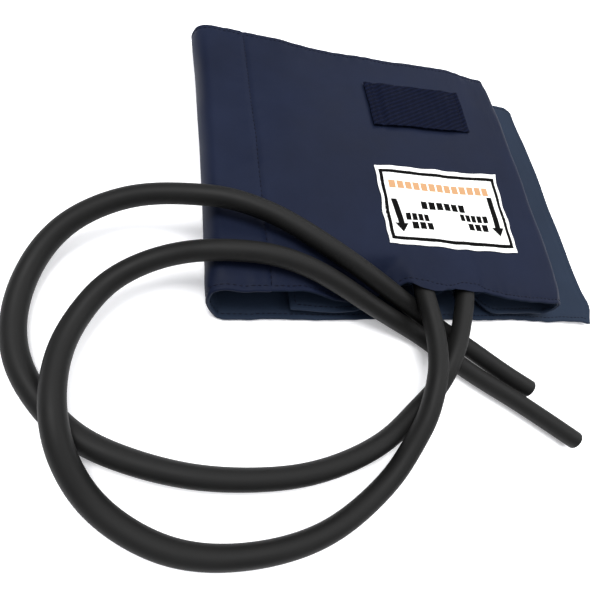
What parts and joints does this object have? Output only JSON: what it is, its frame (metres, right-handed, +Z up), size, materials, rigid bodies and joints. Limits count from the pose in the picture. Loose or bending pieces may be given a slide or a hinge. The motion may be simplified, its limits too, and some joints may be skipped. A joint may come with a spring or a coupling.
{
  "type": "blood pressure cuff",
  "caption": "Folded fabric arm cuff with an air bladder, two loose rubber tubes, hook-and-loop closure, sewn label and gauge tape.",
  "frame": {"origin": "centre of the folded cuff's footprint on the surface it lies on, measured without the tubes", "axes": "+X along the strip from the left fold towards the closure end, +Y across the strip away from the edge where the tubes leave, +Z up"},
  "size_m": [0.2662, 0.2301, 0.0289],
  "materials": {
    "navy_nylon": "plain-woven coated nylon, faint sheen",
    "navy_lining": "plain-woven nylon lining, matt",
    "navy_thread": "twisted polyester sewing thread",
    "navy_webbing": "twill-woven tape, matt",
    "label_cloth": "white printed satin label",
    "hook_tape": "moulded hook tape",
    "loop_pile": "brushed loop pile",
    "tube_rubber": "smooth extruded black rubber, satin",
    "bladder_rubber": "smooth sheet rubber, matt"
  },
  "bodies": {
    "tail": {"tail_cover": "navy_nylon", "tail_lining": "navy_lining", "hook_strip": "hook_tape", "tail_hem_thread": "navy_thread"},
    "closure_end": {"closure_end_cover": "navy_nylon", "closure_end_lining": "navy_lining", "closure_end_hem_thread": "navy_thread"},
    "bladder_section": {"left_fold_cover": "navy_nylon", "left_fold_lining": "navy_lining", "pocket_cover": "navy_nylon", "pocket_lining": "navy_lining", "bladder": "bladder_rubber", "bladder_neck_1": "bladder_rubber", "bladder_neck_2": "bladder_rubber", "right_fold_cover": "navy_nylon", "right_fold_lining": "navy_lining", "label": "label_cloth", "gauge_tape": "navy_webbing", "gauge_tape_tack_left": "navy_thread", "gauge_tape_tack_right": "navy_thread", "pocket_seam_thread": "navy_thread", "front_hem_thread": "navy_thread", "back_hem_thread": "navy_thread", "gauge_tube": "tube_rubber", "bulb_tube": "tube_rubber"},
    "inner_flap": {"inner_flap_cover": "navy_nylon", "inner_flap_lining": "navy_lining", "loop_panel": "loop_pile", "bladder_folded_end": "bladder_rubber", "inner_flap_hem_thread": "navy_thread"}
  },
  "joints": [
    {"name": "closure_end_lift", "type": "hinge", "parent": "tail", "child": "closure_end", "pos_m": [0.0725, 0, 0.0015], "axis": [0, -1, 0], "range_deg": [0, 90]},
    {"name": "left_fold_open", "type": "hinge", "parent": "tail", "child": "bladder_section", "pos_m": [-0.0935, 0, 0], "axis": [0, -1, 0], "range_deg": [0, 90]},
    {"name": "right_fold_peel", "type": "hinge", "parent": "bladder_section", "child": "inner_flap", "pos_m": [0.0642, 0, 0.0039], "axis": [0, -1, 0], "range_deg": [0, 18]}
  ],
  "couplings": [
    {"joint": "right_fold_peel", "follows": "left_fold_open", "ratio": 0.2}
  ]
}
